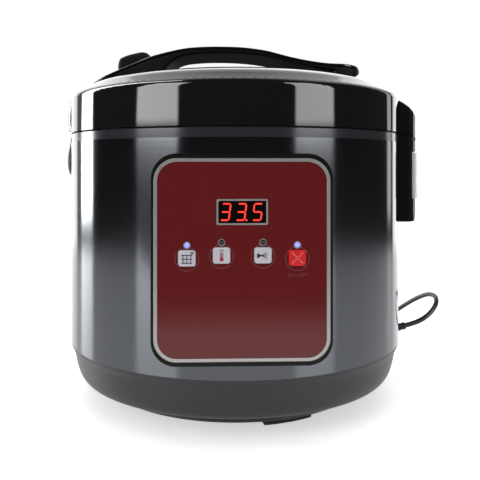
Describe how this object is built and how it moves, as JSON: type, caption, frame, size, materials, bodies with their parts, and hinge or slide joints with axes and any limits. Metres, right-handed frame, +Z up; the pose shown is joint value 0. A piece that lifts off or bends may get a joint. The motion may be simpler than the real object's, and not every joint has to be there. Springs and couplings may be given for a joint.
{
  "type": "chocolate tempering machine",
  "caption": "Round heated chocolate tempering machine: hinged lid with carry handle and release button, lift-out style pot, flat front panel with display and keys, dew cup, mains lead.",
  "frame": {"origin": "on the table, under the middle of the machine's outline without its lead", "axes": "+Z up, control panel facing -Y, lid hinge and dew cup at +X, latch at -X"},
  "size_m": [0.3419, 0.3632, 0.293],
  "materials": {
    "shell_metal": "brushed, clear-coated",
    "ring_metal": "satin",
    "lid_gloss": "polished",
    "satin_black": "satin",
    "base_plastic": "fine texture",
    "foot_rubber": "matte",
    "seal_silicone": "matte",
    "bright_trim": "satin",
    "face_red": "semi-gloss",
    "window_dark": "polished",
    "lamp_blue": "clear",
    "cap_white": "semi-gloss",
    "cap_red": "semi-gloss",
    "cup_clear": "clear",
    "pot_coating": "non-stick coating",
    "aluminium": "satin",
    "steel": "plain",
    "pin_brass": "nickel plated",
    "heater_foil": "film",
    "board_green": "solder mask",
    "switch_black": "plain",
    "lead_rubber": "satin"
  },
  "bodies": {
    "machine": {"base_pan": "base_plastic", "bottom_plate": "base_plastic", "feet": "foot_rubber", "base_screws": "steel", "outer_shell": "shell_metal", "top_ring": "ring_metal", "inner_liner": "aluminium", "heater_band": "heater_foil", "heating_plate": "aluminium", "heating_element": "steel", "plate_posts": "steel", "inner_pot": "pot_coating", "sensor_holder": "steel", "sensor_spring": "steel", "power_board": "board_green", "panel_housing": "lid_gloss", "panel_frame": "bright_trim", "panel_face": "face_red", "display_frame": "bright_trim", "display_lens": "window_dark", "display_module": "satin_black", "control_board": "board_green", "indicator_lamps": "lamp_blue", "lamp_rings": "bright_trim", "tact_switches": "switch_black", "hinge_block": "lid_gloss", "hinge_pin": "steel", "hinge_spring": "steel", "latch_keeper": "lid_gloss", "cord_gland": "lead_rubber", "cord": "lead_rubber", "cord_coil": "lead_rubber", "plug_body": "lead_rubber", "plug_pins": "pin_brass"},
    "lid": {"lid_shell": "lid_gloss", "lid_top_cover": "lid_gloss", "lid_liner": "satin_black", "lid_gasket": "seal_silicone", "inner_lid_plate": "aluminium", "lid_screws": "steel", "vent_seat": "satin_black", "lid_hinge_cover": "lid_gloss", "handle_upper": "lid_gloss", "handle_lower": "satin_black", "lid_latch_trim": "lid_gloss", "latch_pin": "steel", "button_spring": "steel"},
    "release_button": {"release_button": "lid_gloss"},
    "latch_hook": {"latch_hook": "satin_black"},
    "steam_vent_cap": {"steam_vent_cap": "lid_gloss"},
    "dew_cup": {"dew_cup": "cup_clear"},
    "sensor": {"sensor_capsule": "aluminium"},
    "button_milk": {"button_milk": "cap_white"},
    "button_temperature": {"button_temperature": "cap_white"},
    "button_manual": {"button_manual": "cap_white"},
    "button_power": {"button_power": "cap_red"}
  },
  "joints": [
    {"name": "lid_hinge", "type": "hinge", "parent": "machine", "child": "lid", "pos_m": [0.1448, 0.00145, 0.2152], "axis": [0, 1, 0], "range_deg": [0, 85]},
    {"name": "release_button", "type": "slide", "parent": "lid", "child": "release_button", "axis": [0, 0, -1], "range_m": [0, 0.004], "stiffness_N_per_m": 400, "springref_m": -0.002, "deforming": ["button_spring"]},
    {"name": "latch_hook", "type": "hinge", "parent": "lid", "child": "latch_hook", "pos_m": [-0.1387, 0.00145, 0.238], "axis": [0, 1, 0], "range_deg": [0, 5.8]},
    {"name": "dew_cup_slide", "type": "slide", "parent": "machine", "child": "dew_cup", "axis": [1, 0, 0], "range_m": [0, 0.045]},
    {"name": "sensor_slide", "type": "slide", "parent": "machine", "child": "sensor", "axis": [0, 0, 1], "range_m": [-0.002, 0], "stiffness_N_per_m": 500, "springref_m": 0.004, "deforming": ["sensor_spring"]},
    {"name": "steam_vent_lift", "type": "slide", "parent": "lid", "child": "steam_vent_cap", "axis": [0, 0, 1], "range_m": [0, 0.01]},
    {"name": "button_milk_press", "type": "slide", "parent": "machine", "child": "button_milk", "axis": [0, 1, 0], "range_m": [0, 0.0008], "stiffness_N_per_m": 800, "springref_m": -0.0005},
    {"name": "button_temperature_press", "type": "slide", "parent": "machine", "child": "button_temperature", "axis": [0, 1, 0], "range_m": [0, 0.0008], "stiffness_N_per_m": 800, "springref_m": -0.0005},
    {"name": "button_manual_press", "type": "slide", "parent": "machine", "child": "button_manual", "axis": [0, 1, 0], "range_m": [0, 0.0008], "stiffness_N_per_m": 800, "springref_m": -0.0005},
    {"name": "button_power_press", "type": "slide", "parent": "machine", "child": "button_power", "axis": [0, 1, 0], "range_m": [0, 0.0008], "stiffness_N_per_m": 800, "springref_m": -0.0005}
  ],
  "couplings": [
    {"joint": "latch_hook", "follows": "release_button", "rad_per_m": 24.691}
  ]
}
